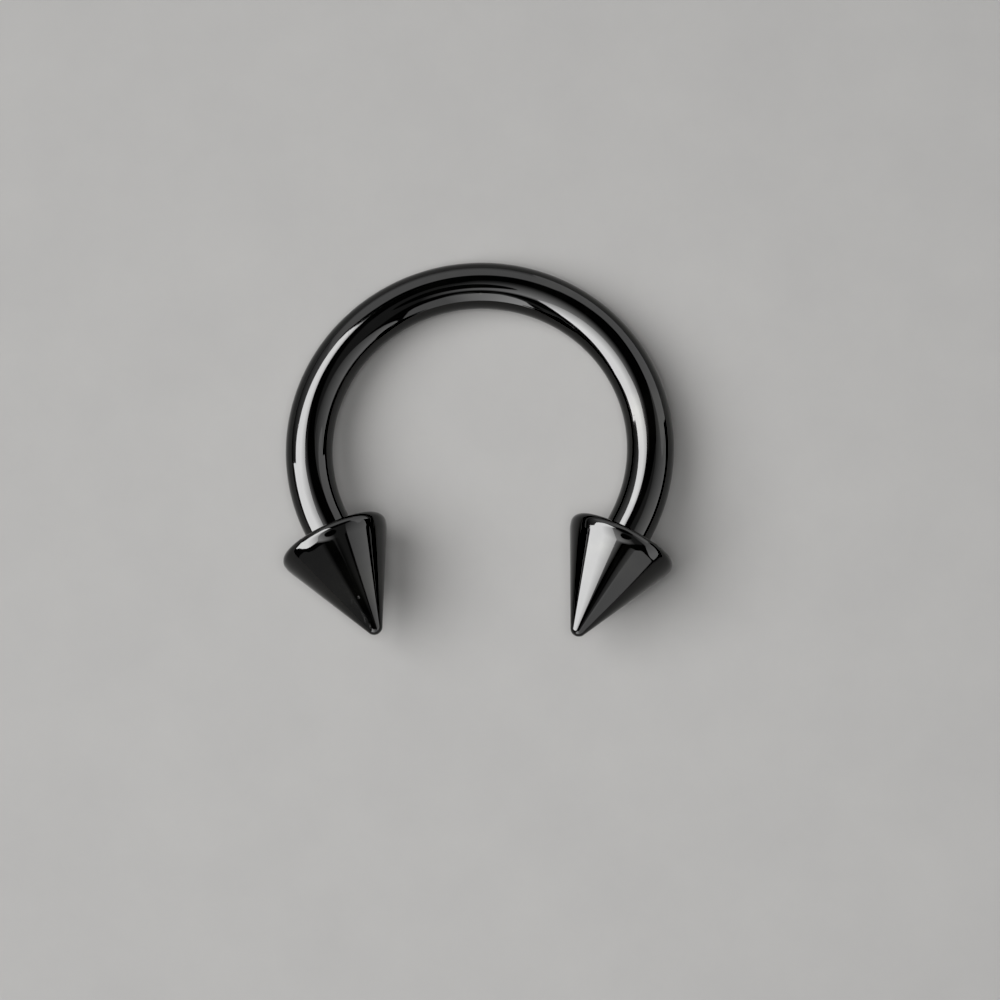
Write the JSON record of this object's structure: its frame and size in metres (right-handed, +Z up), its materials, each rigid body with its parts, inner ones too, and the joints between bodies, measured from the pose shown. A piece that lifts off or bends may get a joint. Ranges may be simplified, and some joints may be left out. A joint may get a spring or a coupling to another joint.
{
  "type": "horseshoe barbell",
  "caption": "Circular barbell for a body piercing: a round bar bent to a horseshoe, with a pointed cone screwed on each end.",
  "frame": {"origin": "on the surface that the barbell lies on, under the middle of its bounding box", "axes": "+X from the left cone to the right cone, across the mouth; +Y from the mouth to the far side of the curve; +Z up from the surface"},
  "size_m": [0.0132, 0.013, 0.0037],
  "materials": {
    "black_steel": "polished surgical steel with a black vapour-deposited coating"
  },
  "bodies": {
    "bar": {"bar": "black_steel"},
    "cone_left": {"cone_left": "black_steel"},
    "cone_right": {"cone_right": "black_steel"}
  },
  "joints": [
    {"name": "cone_left_unscrew", "type": "slide", "parent": "bar", "child": "cone_left", "axis": [0.4384, -0.8927, 0.1045], "range_m": [0, 0.0015]},
    {"name": "cone_right_unscrew", "type": "slide", "parent": "bar", "child": "cone_right", "axis": [-0.4384, -0.8927, 0.1045], "range_m": [0, 0.0015]}
  ]
}
